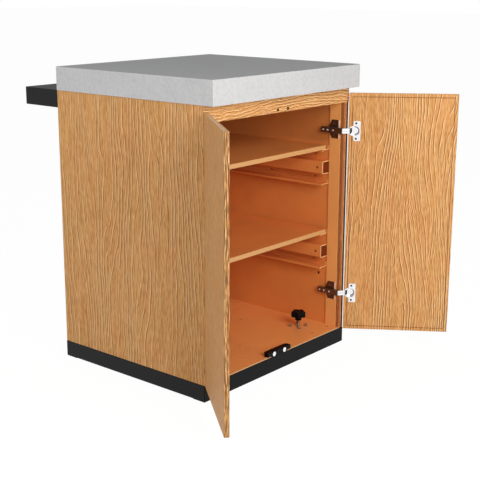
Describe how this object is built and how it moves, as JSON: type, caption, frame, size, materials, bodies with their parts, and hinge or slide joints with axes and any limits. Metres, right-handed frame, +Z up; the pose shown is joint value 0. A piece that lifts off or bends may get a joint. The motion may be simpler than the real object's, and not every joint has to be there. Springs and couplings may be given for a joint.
{
  "type": "outdoor kitchen cabinet",
  "caption": "Free-standing outdoor kitchen base cabinet with a thick concrete worktop, wood-grain doors on concealed hinges, shelves and screw levellers.",
  "frame": {"origin": "on the ground at the middle of the cabinet body's footprint", "axes": "+X to the cabinet's right as its doors are faced, +Y to its back, +Z up"},
  "size_m": [1.0725, 1.0119, 0.9],
  "materials": {
    "concrete": "light grey fine-cast concrete, darker satin top",
    "core_board": "light grey core board",
    "zinc_steel": "dull zinc",
    "wood_grain": "embossed oak-grain coated sheet",
    "orange_sheet": "satin orange powder coat",
    "black_steel": "satin black powder coat",
    "black_plastic": "satin black moulding",
    "white_metal": "bright discs",
    "chrome": "nickel plated"
  },
  "bodies": {
    "cabinet": {"back_panel": "wood_grain", "catch_body": "black_plastic", "catch_magnets": "white_metal", "floor_brace": "zinc_steel", "floor_panel": "orange_sheet", "floor_rivets": "zinc_steel", "front_top_rail": "wood_grain", "hinge_arms": "chrome", "hinge_knuckles": "chrome", "hinge_pins": "chrome", "hinge_plates": "chrome", "hinge_screws": "chrome", "ledge_bolts": "zinc_steel", "ledge_brackets": "zinc_steel", "left_shelf_lips": "orange_sheet", "left_side_channels": "orange_sheet", "left_side_liner": "orange_sheet", "left_side_skin": "wood_grain", "left_stile": "orange_sheet", "leveller_bolts": "zinc_steel", "leveller_plates": "zinc_steel", "lower_shelf": "orange_sheet", "plinth_front": "black_steel", "plinth_left": "black_steel", "plinth_rear": "black_steel", "plinth_right": "black_steel", "rear_ledge": "black_steel", "rear_top_rail": "wood_grain", "right_shelf_lips": "orange_sheet", "right_side_channels": "orange_sheet", "right_side_liner": "orange_sheet", "right_side_skin": "wood_grain", "right_stile": "orange_sheet", "upper_shelf": "orange_sheet", "worktop": "concrete", "worktop_core": "core_board", "worktop_screws": "zinc_steel"},
    "left_door": {"left_door_tray": "wood_grain", "left_door_core": "core_board", "left_door_pan": "wood_grain", "left_hinge_cups": "chrome", "left_cup_screws": "chrome"},
    "right_door": {"right_door_tray": "wood_grain", "right_door_core": "core_board", "right_door_pan": "wood_grain", "right_hinge_cups": "chrome", "right_cup_screws": "chrome"},
    "foot_front_left": {"foot_front_left": "black_plastic"},
    "knob_front_left": {"spindle_front_left": "zinc_steel", "knob_front_left": "black_plastic"},
    "foot_front_right": {"foot_front_right": "black_plastic"},
    "knob_front_right": {"spindle_front_right": "zinc_steel", "knob_front_right": "black_plastic"},
    "foot_rear_left": {"foot_rear_left": "black_plastic"},
    "knob_rear_left": {"spindle_rear_left": "zinc_steel", "knob_rear_left": "black_plastic"},
    "foot_rear_right": {"foot_rear_right": "black_plastic"},
    "knob_rear_right": {"spindle_rear_right": "zinc_steel", "knob_rear_right": "black_plastic"}
  },
  "joints": [
    {"name": "right_door_hinge", "type": "hinge", "parent": "cabinet", "child": "right_door", "pos_m": [0.3314, -0.2998, 0.432], "axis": [0, 0, -1], "range_deg": [0, 124.5]},
    {"name": "left_door_hinge", "type": "hinge", "parent": "cabinet", "child": "left_door", "pos_m": [-0.3314, -0.2998, 0.432], "axis": [0, 0, 1], "range_deg": [0, 130]},
    {"name": "foot_front_left_travel", "type": "slide", "parent": "cabinet", "child": "foot_front_left", "axis": [0, 0, -1], "range_m": [0, 0.02]},
    {"name": "knob_front_left_turn", "type": "hinge", "parent": "foot_front_left", "child": "knob_front_left", "pos_m": [-0.235, -0.1865, 0.05], "axis": [0, 0, -1], "range_deg": [0, 5760]},
    {"name": "foot_front_right_travel", "type": "slide", "parent": "cabinet", "child": "foot_front_right", "axis": [0, 0, -1], "range_m": [0, 0.02]},
    {"name": "knob_front_right_turn", "type": "hinge", "parent": "foot_front_right", "child": "knob_front_right", "pos_m": [0.235, -0.1865, 0.05], "axis": [0, 0, -1], "range_deg": [0, 5760]},
    {"name": "foot_rear_left_travel", "type": "slide", "parent": "cabinet", "child": "foot_rear_left", "axis": [0, 0, -1], "range_m": [0, 0.02]},
    {"name": "knob_rear_left_turn", "type": "hinge", "parent": "foot_rear_left", "child": "knob_rear_left", "pos_m": [-0.235, 0.1865, 0.05], "axis": [0, 0, -1], "range_deg": [0, 5760]},
    {"name": "foot_rear_right_travel", "type": "slide", "parent": "cabinet", "child": "foot_rear_right", "axis": [0, 0, -1], "range_m": [0, 0.02]},
    {"name": "knob_rear_right_turn", "type": "hinge", "parent": "foot_rear_right", "child": "knob_rear_right", "pos_m": [0.235, 0.1865, 0.05], "axis": [0, 0, -1], "range_deg": [0, 5760]}
  ],
  "couplings": [
    {"joint": "foot_front_left_travel", "follows": "knob_front_left_turn", "m_per_rad": 0.00019894},
    {"joint": "foot_front_right_travel", "follows": "knob_front_right_turn", "m_per_rad": 0.00019894},
    {"joint": "foot_rear_left_travel", "follows": "knob_rear_left_turn", "m_per_rad": 0.00019894},
    {"joint": "foot_rear_right_travel", "follows": "knob_rear_right_turn", "m_per_rad": 0.00019894}
  ]
}
